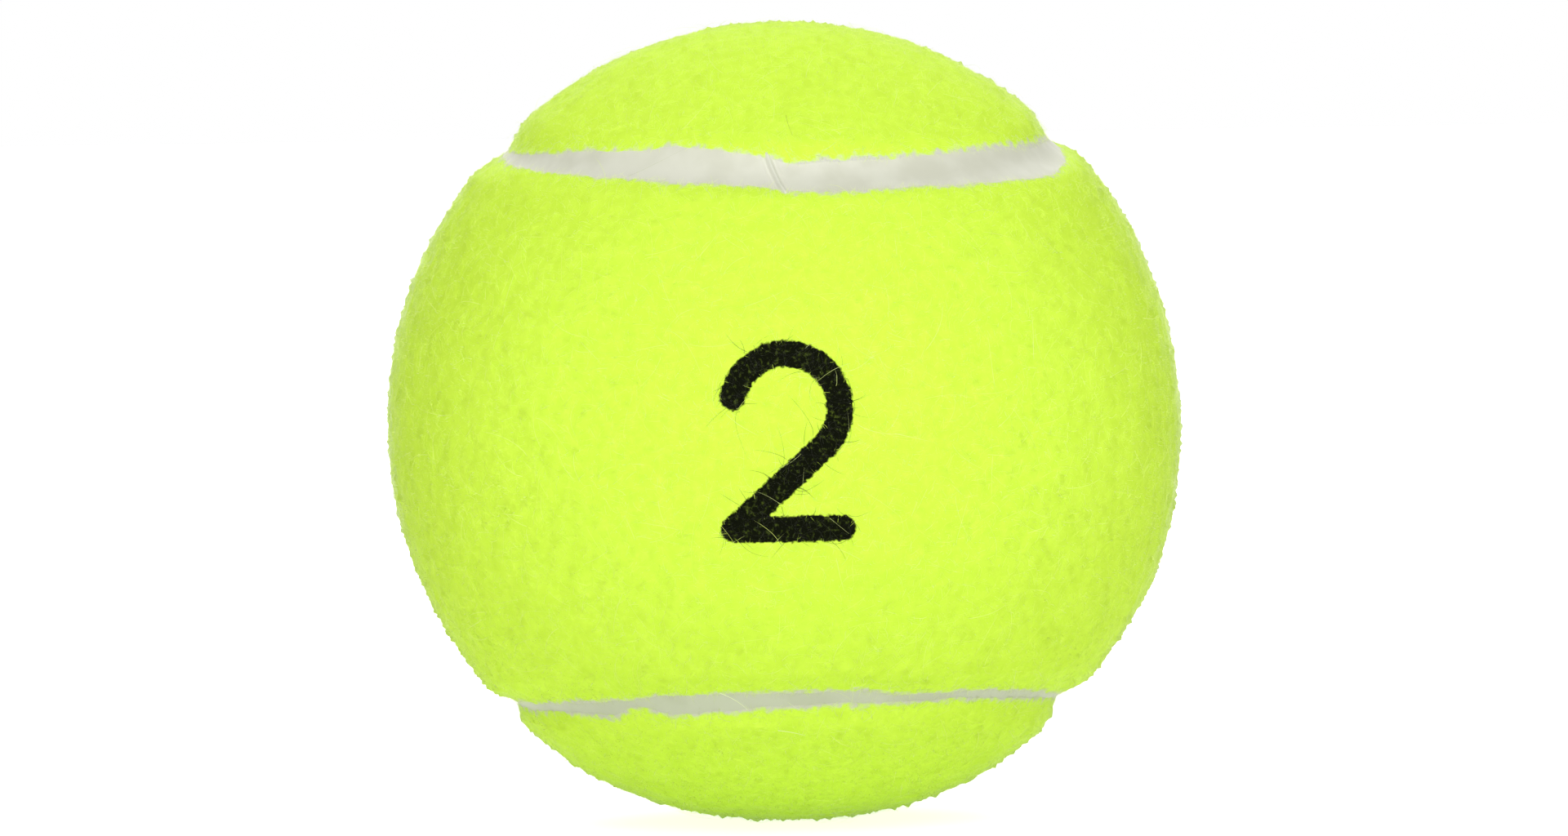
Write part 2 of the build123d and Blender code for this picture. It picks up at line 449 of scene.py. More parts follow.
def groove_height(distance):
    """Height of the ball at a distance from the groove's middle. It rolls over into the nap's base."""
    reach = np.minimum(np.abs(distance), groove_limit * groove_radius)
    groove = ball_radius - seam_depth + groove_radius - np.sqrt(groove_radius**2 - reach**2)
    base = ball_radius - nap_sink
    mix = np.clip(0.5 + 0.5 * (groove - base) / shoulder_blend, 0, 1)
    return groove + (base - groove) * mix - shoulder_blend * mix * (1 - mix)


def nap_height(directions, depth):
    """Height of the nap's base with its lumps, which die away towards the panel's cut edge."""
    distance, nearest, _ = seam_frame(directions)
    height = groove_height(groove_reach(distance, nearest))
    inner = np.clip(depth / nap_edge, 0, 1)
    for (x, z), spread_angle, size in nap_swells:
        angle = np.arccos(np.clip(directions @ unit(np.array((x, 0.0, z))), -1, 1))
        height += inner * size * np.exp(-((angle / spread_angle) ** 2))
    for salt, (wavelength, size) in enumerate(nap_lumps):
        height += inner * size * lumps(directions * ball_radius, wavelength, nap_seed + salt)
    return height


def number_line():
    """Middle line of the number 2, from the start of its bowl to the end of its foot."""
    bowl_radius = (number_width - number_stroke) / 2
    foot = (number_stroke - number_height) / 2
    turn = np.linspace(bowl_start, bowl_end, bowl_steps)
    bowl = np.column_stack([np.cos(turn), np.sin(turn)]) * bowl_radius
    bowl[:, 1] += (number_height - number_stroke) / 2 - bowl_radius
    heel = bowl[-1] - (bowl[-1, 1] - foot) * np.array([-sin(bowl_end), cos(bowl_end)]) / cos(bowl_end)
    return np.vstack([bowl, heel, (bowl_radius + foot_overrun, foot)])


def ink_distance(places):
    """Distance from the printed number's edge, negative inside it. Places behind the ball are far away."""
    x, y, z = unit(places).T
    flat = ball_radius * np.column_stack([np.arctan2(x, -y), np.arcsin(z)]) - number_place
    line = number_line()
    closest = np.full(len(flat), 1.0)
    for start, end in zip(line[:-1], line[1:]):
        way = end - start
        share = np.clip((flat - start) @ way / (way @ way), 0, 1)
        closest = np.minimum(closest, np.linalg.norm(flat - start - share[:, None] * way, axis=1))
    return closest - number_stroke / 2


def scatter(face, count, rng):
    """Random places on a panel's napped face, even by area, and their depths from the cut edge."""
    points, triangles, depth = face
    a, b, c = (points[triangles[:, corner]] for corner in range(3))
    area = np.linalg.norm(np.cross(b - a, c - a), axis=1)
    picked = triangles[rng.choice(len(triangles), count, p=area / area.sum())]
    first, second = rng.random((2, count))
    fold = first + second > 1
    first, second = np.where(fold, 1 - first, first), np.where(fold, 1 - second, second)
    weights = np.column_stack([1 - first - second, first, second])
    return np.sum(points[picked] * weights[:, :, None], axis=1), np.sum(depth[picked] * weights, axis=1)


def turned(out, ahead, angle):
    """Directions along the surface, turned about the way out by an angle."""
    return ahead * np.cos(angle)[:, None] + np.cross(out, ahead) * np.sin(angle)[:, None]


def any_way(places, rng):
    """Random directions along the surface."""
    out = unit(places)
    other = np.where(np.abs(out[:, 2:]) < pole_limit, (0.0, 0.0, 1.0), (1.0, 0.0, 0.0))
    level = unit(np.cross(out, other))
    return turned(out, level, rng.uniform(0, 2 * pi, len(places)))


def centre_lines(places, ahead, length, sway, heights):
    """Centre lines of fibres that bend sideways by sway and stand at the given heights along their length."""
    aside = np.cross(unit(places), ahead)
    share = np.linspace(0, 1, heights.shape[1])
    along = length[:, None] * share
    across = length[:, None] * sway[:, None] * share**2
    line = places[:, None] + ahead[:, None] * along[:, :, None] + aside[:, None] * across[:, :, None]
    return unit(line) * (np.linalg.norm(places, axis=1)[:, None] + heights)[:, :, None]


def kept_back(places, ahead, length, sway, heights, panel, reach):
    """Directions with those fibres turned round whose tips hang over the seam by more than their reach."""
    tips = unit(centre_lines(places, ahead, length, sway, heights)[:, -1])
    distance, nearest, _ = seam_frame(tips)
    over = distance * panel - cut_edge(nearest, panel) < -reach
    return np.where(over[:, None], -ahead, ahead)


def fibre_piece(name, lines, radius, tones, look):
    """Three-sided tapering fibres along the lines, in one piece. The bake map holds tone and place along."""
    count, rings = lines.shape[:2]
    ahead = unit(np.gradient(lines, axis=1))
    side = unit(np.cross(ahead, lines))
    up = np.cross(side, ahead)
    share = np.linspace(0, 1, rings)
    thick = (radius[:, None] * (1 - fibre_taper * share))[:, :, None]
    turns = np.radians((90, 210, 330))
    outward = np.stack([cos(t) * side + flatness * sin(t) * up for t in turns], axis=2)
    tubes = lines[:, :, None] + thick[:, :, None] * outward
    size = 3 * (rings - 1) + 1
    points = np.concatenate([tubes[:, :-1].reshape(count, -1, 3), lines[:, -1:]], axis=1)
    sides = [
        (3 * k + j, 3 * k + 3 + j, 3 * k + 3 + (j + 1) % 3, 3 * k + (j + 1) % 3)
        for k in range(rings - 2) for j in range(3)
    ]
    last = 3 * (rings - 2)
    ends = [(0, 1, 2)] + [(last + j, size - 1, last + (j + 1) % 3) for j in range(3)]
    first = np.arange(count)[:, None, None] * size
    faces = [(np.array(block) + first).reshape(-1, len(block[0])) for block in (sides, ends)]
    piece = new_piece(name, points.reshape(-1, 3), faces, look)
    piece.visible_shadow = False
    steps = np.concatenate([np.repeat(share[:-1], 3), [1.0]])
    across = np.concatenate([np.repeat(tones[:, :-1], 3, axis=1), tones[:, -1:]], axis=1)
    along = bake_margin + (1 - 2 * bake_margin) * steps
    places = np.stack(np.broadcast_arrays(across, along), axis=2).reshape(-1, 2)
    corners = np.empty(len(piece.data.loops), np.int32)
    piece.data.loops.foreach_get("vertex_index", corners)
    layer = piece.data.uv_layers.new(name="OFBake")
    layer.uv.foreach_set("vector", places[corners].astype(np.float32).reshape(-1))
    return piece


def inked(lines, tones, rng):
    """Tones along each fibre, black where it lies on the printed number. A few fibres lie over the ink."""
    count = len(lines)
    edge = rng.normal(0.0, ink_fray, count) * MM
    edge -= np.where(rng.random(count) < over_ink_share, number_stroke, 0)
    black = rng.uniform(0, INK_TONE, count)
    distance = ink_distance(lines.reshape(-1, 3)).reshape(lines.shape[:2])
    return np.where(distance < edge[:, None], black[:, None], tones)


def nap_tones(places, depth, panel, rng):
    """Tones of nap fibres: cloudy over the panel, and whitened by rubber near the cut edge."""
    count = len(places)
    tones = rng.normal(tone_spread.middle, tone_spread.spread, count)
    tones += tone_spread.cloud * lumps(places, tone_spread.cloud_size * MM, tone_spread.cloud_seed)
    coated = depth < rng.exponential(coated_margin[panel], count) * MM
    return np.where(coated, COATED_TONE, np.clip(tones, DARK_TONE, BRIGHT_TONE))


def arched(kind, count, rng):
    """Heights along fibres that rise over a part of a half wave."""
    wave = np.sin(np.linspace(*kind.wave, kind.rings) * pi)
    return rng.uniform(*kind.arch, (count, 1)) * MM * wave - kind.sink * MM


def lying_fibres(face, panel, rng):
    """Short curly fibres that lie over the base."""
    count = lying.count
    places, depth = scatter(face, count, rng)
    length = rng.uniform(*lying.length, count) * MM
    sway = rng.normal(0, lying.bend, count)
    heights = arched(lying, count, rng)
    reach = rng.exponential(lying.overhang, count) * MM
    ahead = kept_back(places, any_way(places, rng), length, sway, heights, panel, reach)
    lines = centre_lines(places, ahead, length, sway, heights)
    tones = nap_tones(places, depth, panel, rng)[:, None]
    return lines, rng.uniform(*lying.radius, count) * MM, inked(lines, tones, rng)


def fuzz_fibres(face, panel, rng):
    """Fine short fibres that stand up out of the base, paler towards their tips: partly their own pale tone,
    partly painted sheen.
    """
    count = fuzz.count
    places, depth = scatter(face, count, rng)
    uneven = 1 + fuzz.uneven * lumps(places, fuzz.clump * MM, fuzz.clump_seed)
    length = rng.uniform(*fuzz.length, count) * uneven * np.clip(fuzz.edge_length + depth / MM, 0, 1) * MM
    lean = rng.uniform(*fuzz.lean, count)
    share = np.linspace(0, 1, fuzz.rings)
    heights = (length * np.cos(lean))[:, None] * share - fuzz.sink * MM
    sway = rng.normal(0, fuzz.bend, count)
    lines = centre_lines(places, any_way(places, rng), length * np.sin(lean), sway, heights)
    root = nap_tones(places, depth, panel, rng)[:, None]
    # Painted sheen: tones lifted paler towards the tip, partly the fibres' own pale tone, to give the ball a
    # pale rim
    pale_and_sheen = np.minimum(root + fuzz.root_lift + fuzz.tip_lift * share**2, PALE_AND_SHEEN_TONE)
    tones = np.where(root < COATED_TONE, pale_and_sheen, COATED_TONE)
    return lines, rng.uniform(*fuzz.radius, count) * MM, inked(lines, tones, rng)


def fringe_fibres(face, panel, rng):
    """Short fibres of the cut edge, which lie a little way out over the seam."""
    places, depth = scatter(face, fringe.draws, rng)
    near = depth < rng.exponential(fringe.margin, len(depth)) * MM
    places, depth = places[near], depth[near]
    count = len(places)
    length = depth + np.minimum(rng.exponential(fringe.overhang, count), fringe.longest) * MM
    sway = rng.normal(0, fringe.bend, count)
    heights = arched(fringe, count, rng)
    to_seam = -panel * seam_frame(unit(places))[2]
    ahead = turned(unit(places), to_seam, rng.normal(0, fringe.turn, count))
    lines = centre_lines(places, ahead, length, sway, heights)
    coated = rng.random(count) < fringe.coated_share
    tones = np.where(coated, COATED_TONE, rng.uniform(fringe.darkest, BRIGHT_TONE, count))
    return lines, rng.uniform(*fringe.radius, count) * MM, np.repeat(tones[:, None], fringe.rings, axis=1)


def wisp_fibres(face, panel, rng):
    """Long loose fibres that stand out of the nap."""
    count = wisps.count
    places, _ = scatter(face, count, rng)
    length = rng.uniform(*wisps.length, count) * MM
    sway = rng.normal(0, wisps.bend, count)
    heights = arched(wisps, count, rng)
    reach = rng.exponential(wisps.overhang, count) * MM
    ahead = kept_back(places, any_way(places, rng), length, sway, heights, panel, reach)
    lines = centre_lines(places, ahead, length, sway, heights)
    tones = np.repeat(rng.uniform(wisps.darkest, BRIGHT_TONE, count)[:, None], wisps.rings, axis=1)
    tones[ink_distance(places) < 0] = INK_TONE
    return lines, rng.uniform(*wisps.radius, count) * MM, tones


def number_hairs(face, rng):
    """Fine hairs about the printed number: black ones out of its edge, and pale ones that lie over it."""
    places, _ = scatter(face, hairs.draws, rng)
    away = ink_distance(places)
    edge = places[np.abs(away - hairs.black_middle * MM) < hairs.black_band * MM][:hairs.black_count]
    over = places[np.abs(away) < hairs.pale_band * MM][:hairs.pale_count]
    places = np.concatenate([edge, over])
    count = len(places)
    black_length = rng.uniform(*hairs.black_length, len(edge))
    pale_length = rng.uniform(*hairs.pale_length, len(over))
    length = np.concatenate([black_length, pale_length]) * MM
    sway = rng.normal(0, hairs.bend, count)
    heights = arched(hairs, count, rng)
    lines = centre_lines(places, any_way(places, rng), length, sway, heights)
    black = np.arange(count) < len(edge)
    tones = np.where(black, 0.0, BRIGHT_TONE)
    radius = np.where(black, rng.uniform(*hairs.black_radius, count), hairs.pale_radius) * MM
    return lines, radius, np.repeat(tones[:, None], hairs.rings, axis=1)


def stray_fibres():
    """The loose hairs that show at the front, each bowed a little to one side."""
    share = np.linspace(0, 1, hairs.rings)[:, None]
    lines, radius, tones = [], [], []
    for start, end, sag, lift, thick, tone in stray_hairs:
        start, end = np.array(start), np.array(end)
        aside = unit(np.array((start[1] - end[1], end[0] - start[0])))
        x, z = (start + (end - start) * share + sag * aside * np.sin(share * pi)).T
        directions = np.column_stack([x, -np.sqrt(1 - x * x - z * z), z])
        distance, nearest, _ = seam_frame(directions)
        lines.append(directions * (groove_height(groove_reach(distance, nearest)) + lift)[:, None])
        radius.append(thick)
        tones.append(np.full(hairs.rings, tone))
    return np.array(lines), np.array(radius), np.array(tones)


def make_nap(name, face, panel, look, rng):
    """All the fibres of one panel, in pieces."""
    pieces = []
    for kind, fibres in (("lying", lying_fibres), ("fuzz", fuzz_fibres)):
        lines, radius, tones = fibres(face, panel, rng)
        across = lines[:, 0, 0] if panel > 0 else lines[:, 0, 2]
        zone = np.argsort(np.argsort(across)) * zones // len(lines)
        for number in range(zones):
            own = zone == number
            piece_name = f"{name}_{kind}_{number + 1}"
            pieces.append(fibre_piece(piece_name, lines[own], radius[own], tones[own], look))
    pieces.append(fibre_piece(f"{name}_fringe", *fringe_fibres(face, panel, rng), look))
    pieces.append(fibre_piece(f"{name}_wisps", *wisp_fibres(face, panel, rng), look))
    if panel > 0:
        pieces.append(fibre_piece(f"{name}_number_hairs", *number_hairs(face, rng), look))
        pieces.append(fibre_piece(f"{name}_strays", *stray_fibres(), look))
    return pieces


def material(name, **sockets):
    """A node material and its Principled shader, with constant sockets set."""
    made = bpy.data.materials.new(name)
    made.use_nodes = True
    shader = made.node_tree.nodes["Principled BSDF"]
    for socket, value in sockets.items():
        shader.inputs[socket.replace("_", " ")].default_value = value
    return made, shader


def node(tree, kind, **settings):
    made = tree.nodes.new(kind)
    for key, value in settings.items():
        setattr(made, key, value)
    return made


def colour_ramp(tree, stops):
    ramp = node(tree, "ShaderNodeValToRGB")
    marks = ramp.color_ramp.elements
    while len(marks) < len(stops):
        marks.new(0.5)
    for mark, (position, colour) in zip(marks, stops):
        mark.position = position
        mark.color = (*colour, 1)
    return ramp


def noise(tree, place, scale, detail=2.0):
    """A noise texture over the object, as a value around 0.5."""
    made = node(tree, "ShaderNodeTexNoise")
    made.inputs["Scale"].default_value = scale
    made.inputs["Detail"].default_value = detail
    tree.links.new(place.outputs["Object"], made.inputs["Vector"])
    return made.outputs["Fac"]


def maths(tree, operation, first, second):
    """A maths node on two values, each a socket or a number."""
    made = node(tree, "ShaderNodeMath", operation=operation)
    for socket, value in zip(made.inputs, (first, second)):
        if isinstance(value, (int, float)):
            socket.default_value = value
        else:
            tree.links.new(value, socket)
    return made.outputs[0]


def spread(tree, value, low, high):
    """A value eased from 0 at low to 1 at high."""
    made = node(tree, "ShaderNodeMapRange", interpolation_type="SMOOTHSTEP")
    made.inputs["From Min"].default_value = low
    made.inputs["From Max"].default_value = high
    tree.links.new(value, made.inputs["Value"])
    return made.outputs["Result"]


def blend_colour(tree, share, first, second):
    """The first colour where share is 0 and the second where it is 1. Each is a socket or three numbers."""
    made = node(tree, "ShaderNodeMix", data_type="RGBA")
    tree.links.new(share, made.inputs[0])
    for socket, value in zip((made.inputs[6], made.inputs[7]), (first, second)):
        if isinstance(value, tuple):
            socket.default_value = (*value, 1)
        else:
            tree.links.new(value, socket)
    return made.outputs[2]


def stored(tree, name):
    return node(tree, "ShaderNodeAttribute", attribute_name=name).outputs["Fac"]


def felt_material():
    """Mottled yellow felt, whitened by rubber along the cut edge, with the black number."""
    made, shader = material("felt", Roughness=0.9, Sheen_Weight=0.36, Sheen_Roughness=0.2)
    shader.inputs["Specular IOR Level"].default_value = 0.05
    look = felt_look
    tree = made.node_tree
    place = node(tree, "ShaderNodeTexCoord")
    cloud = noise(tree, place, look.cloud_scale, 4)
    strands = node(tree, "ShaderNodeTexNoise", noise_type="RIDGED_MULTIFRACTAL", normalize=True)
    strands.inputs["Scale"].default_value = look.strand_scale
    strands.inputs["Detail"].default_value = 1
    strands.inputs["Distortion"].default_value = look.strand_twist
    tree.links.new(place.outputs["Object"], strands.inputs["Vector"])
    ramp = colour_ramp(tree, [(look.ramp[0], FELT_DARK), (look.ramp[1], FELT_BRIGHT)])
    cloud = maths(tree, "MULTIPLY", cloud, look.cloud_share)
    mixed = maths(tree, "ADD", cloud, maths(tree, "MULTIPLY", strands.outputs["Fac"], look.strand_share))
    tree.links.new(mixed, ramp.inputs["Fac"])
    bump = node(tree, "ShaderNodeBump")
    bump.inputs["Strength"].default_value = look.bump
    bump.inputs["Distance"].default_value = look.bump_height
    tree.links.new(mixed, bump.inputs["Height"])
    tree.links.new(bump.outputs["Normal"], shader.inputs["Normal"])
    ragged = maths(tree, "SUBTRACT", noise(tree, place, look.wick_scale, 3), 0.5)
    ragged = maths(tree, "MULTIPLY", ragged, look.wick_waver)
    soaked = spread(tree, noise(tree, place, look.soak_scale), *look.soak_range)
    soaked = maths(tree, "MULTIPLY", soaked, look.soak_depth)
    inward = maths(tree, "SUBTRACT", maths(tree, "ADD", stored(tree, "depth"), ragged), soaked)
    wick = spread(tree, inward, *look.wick_edge)
    edged = blend_colour(tree, wick, ramp.outputs["Color"], RUBBER_WHITE)
    fray = maths(tree, "SUBTRACT", noise(tree, place, look.fray_scale), 0.5)
    fray = maths(tree, "MULTIPLY", fray, look.fray_width)
    ink = spread(tree, maths(tree, "ADD", stored(tree, "ink"), fray), *look.ink_edge)
    wear = spread(tree, noise(tree, place, look.wear_scale, 3), *look.wear_range)
    worn = blend_colour(tree, wear, INK, WORN_INK)
    tree.links.new(blend_colour(tree, ink, edged, worn), shader.inputs["Base Color"])
    return made


def fibre_material():
    """Fibres coloured by the tone that their bake map holds."""
    made, shader = material("fibre", Roughness=0.75, Sheen_Weight=0.12, Sheen_Roughness=0.3)
    shader.inputs["Specular IOR Level"].default_value = 0.1
    tree = made.node_tree
    place = node(tree, "ShaderNodeUVMap", uv_map="OFBake")
    split = node(tree, "ShaderNodeSeparateXYZ")
    ramp = colour_ramp(tree, [
        (0.0, INK),
        (INK_TONE, PALE_INK),
        (DARK_TONE, YELLOW_DARK),
        (YELLOW_TONE, YELLOW),
        (BRIGHT_TONE, YELLOW_BRIGHT),
        (PALE_AND_SHEEN_TONE, PALE_TIP_AND_SHEEN),
        (FULLY_COATED_TONE, COATED),
    ])
    tree.links.new(place.outputs["UV"], split.inputs["Vector"])
    tree.links.new(split.outputs["X"], ramp.inputs["Fac"])
    tree.links.new(ramp.outputs["Color"], shader.inputs["Base Color"])
    return made


def seam_material():
    """Matte white rubber, faintly cloudy, with painted shade that darkens it towards the bottom and a few
    dark specks of moulding dust.
    """
    made, shader = material("seam", Roughness=0.55)
    look = seam_look
    tree = made.node_tree
    place = node(tree, "ShaderNodeTexCoord")
    cloud = spread(tree, noise(tree, place, look.cloud_scale, 3), *look.cloud_range)
    white = blend_colour(tree, cloud, look.dull, look.white)
    axes = node(tree, "ShaderNodeSeparateXYZ")
    tree.links.new(place.outputs["Object"], axes.inputs["Vector"])
    # Painted shade: the rubber darkens towards the bottom of the ball
    under = maths(tree, "MULTIPLY", spread(tree, axes.outputs["Z"], *look.under_range), look.under_share)
    white = blend_colour(tree, under, white, look.under)
    cells = node(tree, "ShaderNodeTexVoronoi")
    cells.inputs["Scale"].default_value = look.speck_scale
    tree.links.new(place.outputs["Object"], cells.inputs["Vector"])
    near = spread(tree, cells.outputs["Distance"], *look.speck_size)
    rare = spread(tree, noise(tree, place, look.rare_scale), *look.rare_range)
    speck = maths(tree, "MULTIPLY", near, rare)
    tree.links.new(blend_colour(tree, speck, white, look.speck), shader.inputs["Base Color"])
    return made


def inner_material(name, first, second, scale, roughness):
    """A plain mottled material for a layer inside the ball, with a fine grain."""
    made, shader = material(name, Roughness=roughness)
    tree = made.node_tree
    place = node(tree, "ShaderNodeTexCoord")
    cloud = noise(tree, place, scale, 4)
    bump = node(tree, "ShaderNodeBump")
    bump.inputs["Distance"].default_value = inner_bump
    tree.links.new(noise(tree, place, 6 * scale), bump.inputs["Height"])
    tree.links.new(bump.outputs["Normal"], shader.inputs["Normal"])
    mottle = blend_colour(tree, spread(tree, cloud, *inner_mottle), first, second)
    tree.links.new(mottle, shader.inputs["Base Color"])
    return made


def dress_inside():
    """Materials of the layers that the felt hides: the rubber core, its cement and the cloth's back coat."""
    rubber = inner_material("core_rubber", (0.20, 0.19, 0.18), (0.27, 0.26, 0.25), 300, 0.7)
    cement = inner_material("cement", (0.50, 0.40, 0.22), (0.62, 0.52, 0.32), 400, 0.45)
    back_coat = inner_material("back_coat", (0.66, 0.64, 0.55), (0.76, 0.74, 0.66), 500, 0.8)
    looks = {
        "core_upper_half": rubber,
        "core_lower_half": rubber,
        "core_joint_cement": cement,
        "core_cement_coat": cement,
        "front_panel_backing": back_coat,
        "back_panel_backing": back_coat,
    }
    for name, look in looks.items():
        mesh = bpy.data.objects[name].data
        mesh.materials.clear()
        mesh.materials.append(look)


def surface_normals(points, triangles):
    """Smooth normals at the points of an open surface."""
    a, b, c = (points[triangles[:, corner]] for corner in range(3))
    faces = np.cross(b - a, c - a)
    normals = np.zeros_like(points)
    for corner in range(3):
        np.add.at(normals, triangles[:, corner], faces)
    return unit(normals)


def make_panel(name, panel, felt, rng):
    """One felt panel: a lumpy napped face, rounded at its edge, with its wall and its flat underside."""
    points, triangles, depth = clip_to_panel(*sphere, panel)
    outer = points * nap_height(points, depth)[:, None]
    inner = points * felt_inner_radius
    rim = rim_edges(triangles)
    count = len(points)
    wall = np.column_stack([rim[:, 1], rim[:, 0], rim[:, 0] + count, rim[:, 1] + count])
    faces = [triangles, triangles[:, ::-1] + count, wall]
    normals = np.concatenate([surface_normals(outer, triangles), -points])
    peaks = rng.exponential(nap_peak, count)
    peaks += np.where(rng.random(count) < tall_peak_share, tall_peak, 0)
    peaks = np.minimum(peaks, nap_peak_limit) * np.clip(depth / nap_edge, 0, 1)
    outer = outer + points * peaks[:, None]
    piece = new_piece(name, np.concatenate([outer, inner]), faces, felt)
    piece.data.normals_split_custom_set_from_vertices(normals)
    nearest = seam_frame(points)[1]
    top_cap = (panel < 0) & (nearest[:, 1] < 0) & (nearest[:, 2] > 0)
    soak = np.where(top_cap, np.interp(front_run(nearest), *knots(top_cap_soak)), 0)
    add_values(piece.data, "depth", np.concatenate([depth - soak, depth]))
    add_values(piece.data, "ink", np.concatenate([ink_distance(outer), np.ones(count)]))
    return piece, (outer, triangles, depth)


def seam_line(step):
    """Points of the seam's closed middle line on the unit sphere, a step apart."""
    count = int(round(ball_radius * sin(lobe_angle) * arc_sweep / step))
    turn = arc_sweep * (np.arange(count) / count - 0.5)[:, None]
    tilt, lean = cos(lean_angle), sin(lean_angle)
    arcs = [
        (TOP, (0, -tilt, -lean), (1, 0, 0)),
        (RIGHT, (-lean, tilt, 0), (0, 0, -1)),
        (BOTTOM, (0, -tilt, lean), (-1, 0, 0)),
        (LEFT, (lean, tilt, 0), (0, 0, 1)),
    ]
    runs = [
        cos(lobe_angle) * lobe_axes[arc]
        + sin(lobe_angle) * (np.cos(turn) * np.array(middle) + np.sin(turn) * np.array(onward))
        for arc, middle, onward in arcs
    ]
    return np.concatenate(runs)


def make_seam(look):
    """The white seam rubber: a closed band that fills the gap, with its flash rib and an uneven face."""
    middle = seam_line(strip.step)
    _, _, to_front = seam_frame(middle)
    low, high = -cut_edge(middle, -1) - strip.tuck, cut_edge(middle, 1) + strip.tuck
    share = np.linspace(0, 1, strip.columns)
    offset = low[:, None] + (high - low)[:, None] * share
    angle = (offset / ball_radius)[:, :, None]
    directions = np.cos(angle) * middle[:, None] + np.sin(angle) * to_front[:, None]
    flat = directions.reshape(-1, 3)
    hidden = np.maximum(offset - high[:, None], low[:, None] - offset) + strip.tuck
    height = groove_height(groove_reach(offset.T, middle).T) - strip.sink
    height -= strip.dip * np.clip(hidden - strip.level, 0, strip.tuck)
    for wavelength, size, seed in strip.waves:
        height += size * lumps(flat * ball_radius, wavelength, seed).reshape(offset.shape)
    front_top = (middle[:, 1] < 0) & (middle[:, 2] > 0)
    run = np.where(front_top, middle[:, 0] * ball_radius, 1.0)[:, None]
    away = np.abs(run - flash_rib_offset - offset * tan(flash_rib_slant)) * cos(flash_rib_slant)
    height += flash_rib_stand * np.exp(-((away / strip.rib_width) ** 2))
    height -= strip.trough_depth * np.exp(-(((away - strip.trough_away) / strip.rib_width) ** 2))
    top = (directions * height[:, :, None]).reshape(-1, 3)
    ends = directions[:, [0, -1]].reshape(-1, 3) * cement_radius
    rows, columns = offset.shape
    row = np.arange(rows)[:, None]
    after = (row + 1) % rows
    column = np.arange(columns - 1)
    face = np.stack(np.broadcast_arrays(
        row * columns + column, row * columns + column + 1,
        after * columns + column + 1, after * columns + column,
    ), axis=2).reshape(-1, 4)
    base = rows * columns
    row, after = row[:, 0], after[:, 0]
    back_wall = np.column_stack([row * columns, after * columns, base + 2 * after, base + 2 * row])
    front_wall = np.column_stack([
        (after + 1) * columns - 1, (row + 1) * columns - 1, base + 2 * row + 1, base + 2 * after + 1,
    ])
    floor = np.column_stack([base + 2 * row, base + 2 * after, base + 2 * after + 1, base + 2 * row + 1])
    faces = [np.concatenate([face, back_wall, front_wall, floor])]
    piece = new_piece("seam", np.concatenate([top, ends]), faces, look)
    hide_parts("seam_rubber")
    return piece


rng = np.random.default_rng(fibre_seed)
sphere = icosphere(felt_mesh_steps)
felt, fibre = felt_material(), fibre_material()
front_felt, front_face = make_panel("front_felt", 1, felt, rng)
back_felt, back_face = make_panel("back_felt", -1, felt, rng)
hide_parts("front_felt_panel")
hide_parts("back_felt_panel")
front_nap = make_nap("front", front_face, 1, fibre, rng)
back_nap = make_nap("back", back_face, -1, fibre, rng)
make_seam(seam_material())
dress_inside()


# Camera: the photograph's view, seen from far off with a long lens
view_distance = 20 * ball_radius
view_elevation = radians(2.85)
view_azimuth = radians(-3.0)
view_roll = radians(-0.82)
aim_height = 0.26 * MM
sensor_width = 36.0
image_width, ball_half_width = 1920, 489

# Studio: lamps as (name, place, watts) and their size, the floor and its glow near the ball and further off,
# and the world's strength as light and as the white background
lamps = [
    ("low_light", (0.0, -1.35, 0.36), 6.2),
    ("high_light", (0.0, -0.99, 0.99), 13.8),
    ("rear_light", (0.0, 1.0, 0.9), 15.0),
]
lamp_size = 0.9
floor_reach = 4.0
floor_drop = 0.1 * MM
floor_grey, floor_light = 0.8, 0.33
near_glow, more_glow, glow_range = 0.44, 0.4, (0.1, 0.6)
dim_world, white_world = 0.08, 1.0


def make_camera():
    data = bpy.data.cameras.new("camera")
    data.sensor_width = sensor_width
    ball_share = ball_half_width / image_width
    data.lens = sensor_width * ball_share * sqrt((view_distance / ball_radius) ** 2 - 1)
    camera = bpy.data.objects.new("camera", data)
    bpy.context.scene.collection.objects.link(camera)
    towards = Vector((
        sin(view_azimuth) * cos(view_elevation),
        -cos(view_azimuth) * cos(view_elevation),
        sin(view_elevation),
    ))
    turn = towards.to_track_quat("Z", "Y").to_matrix().to_4x4()
    place = Matrix.Translation(towards * view_distance + Vector((0, 0, aim_height)))
    camera.matrix_world = place @ turn @ Matrix.Rotation(view_roll, 4, "Z")
    bpy.context.scene.camera = camera


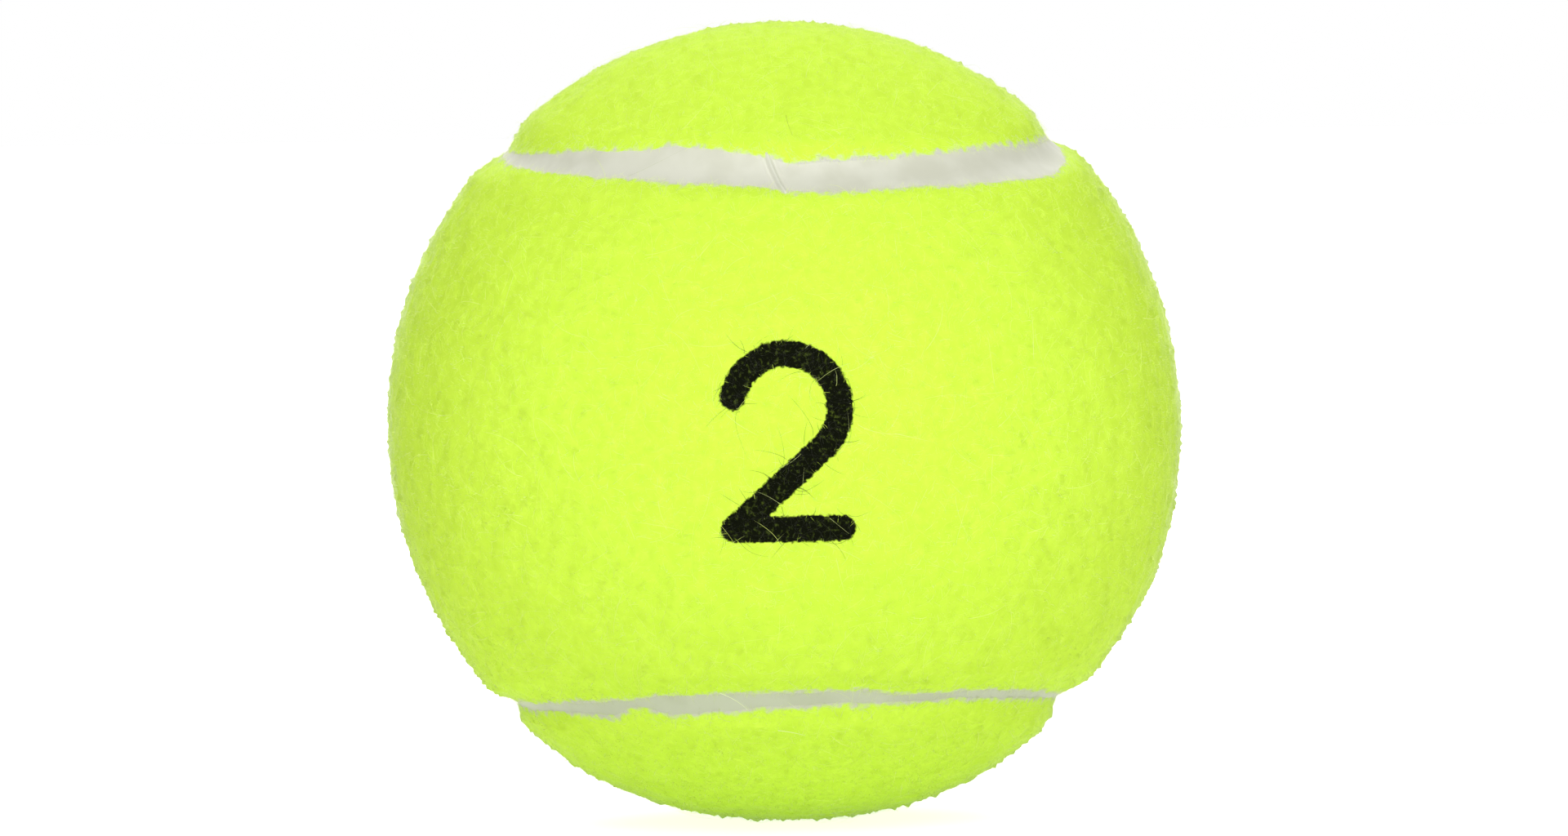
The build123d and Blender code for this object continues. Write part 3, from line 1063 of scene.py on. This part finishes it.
def area_light(name, place, power):
    """A square lamp that faces the ball."""
    data = bpy.data.lights.new(name, "AREA")
    data.size = lamp_size
    data.energy = power
    lamp = bpy.data.objects.new(name, data)
    lamp.location = place
    lamp.rotation_euler = Vector(place).to_track_quat("Z", "Y").to_euler()
    bpy.context.scene.collection.objects.link(lamp)


def seen_rays(tree):
    """1 for the rays that show the background: straight to the camera, in a gloss or through glass."""
    path = node(tree, "ShaderNodeLightPath")
    seen = maths(tree, "MAXIMUM", path.outputs["Is Camera Ray"], path.outputs["Is Glossy Ray"])
    return maths(tree, "MAXIMUM", seen, path.outputs["Is Transmission Ray"])


def make_studio():
    """A pale floor, a white background and three soft lamps."""
    mesh = bpy.data.meshes.new("floor")
    low = -ball_radius - floor_drop
    corners = [(x * floor_reach, y * floor_reach, low) for x, y in ((-1, -1), (1, -1), (1, 1), (-1, 1))]
    mesh.from_pydata(corners, [], [(0, 1, 2, 3)])
    floor = bpy.data.objects.new("floor", mesh)
    bpy.context.scene.collection.objects.link(floor)
    made, shader = material("floor", Roughness=0.9)
    tree = made.node_tree
    shader.inputs["Base Color"].default_value = (floor_grey, floor_grey, floor_grey, 1)
    shader.inputs["Emission Color"].default_value = (1, 1, 1, 1)
    place = node(tree, "ShaderNodeTexCoord")
    away = node(tree, "ShaderNodeVectorMath", operation="LENGTH")
    tree.links.new(place.outputs["Object"], away.inputs[0])
    far = spread(tree, away.outputs["Value"], *glow_range)
    glow = maths(tree, "ADD", maths(tree, "MULTIPLY", far, more_glow), near_glow)
    glow = maths(tree, "MULTIPLY", seen_rays(tree), glow)
    tree.links.new(maths(tree, "ADD", glow, floor_light), shader.inputs["Emission Strength"])
    mesh.materials.append(made)
    world = bpy.data.worlds.new("studio")
    bpy.context.scene.world = world
    world.use_nodes = True
    tree = world.node_tree
    back = tree.nodes["Background"]
    pick = node(tree, "ShaderNodeMix", data_type="FLOAT")
    pick.inputs[2].default_value = dim_world
    pick.inputs[3].default_value = white_world
    tree.links.new(seen_rays(tree), pick.inputs[0])
    tree.links.new(pick.outputs[0], back.inputs["Strength"])
    back.inputs["Color"].default_value = (1, 1, 1, 1)
    for name, place, power in lamps:
        area_light(name, place, power)


make_camera()
make_studio()
bpy.context.scene.view_settings.view_transform = "Standard"
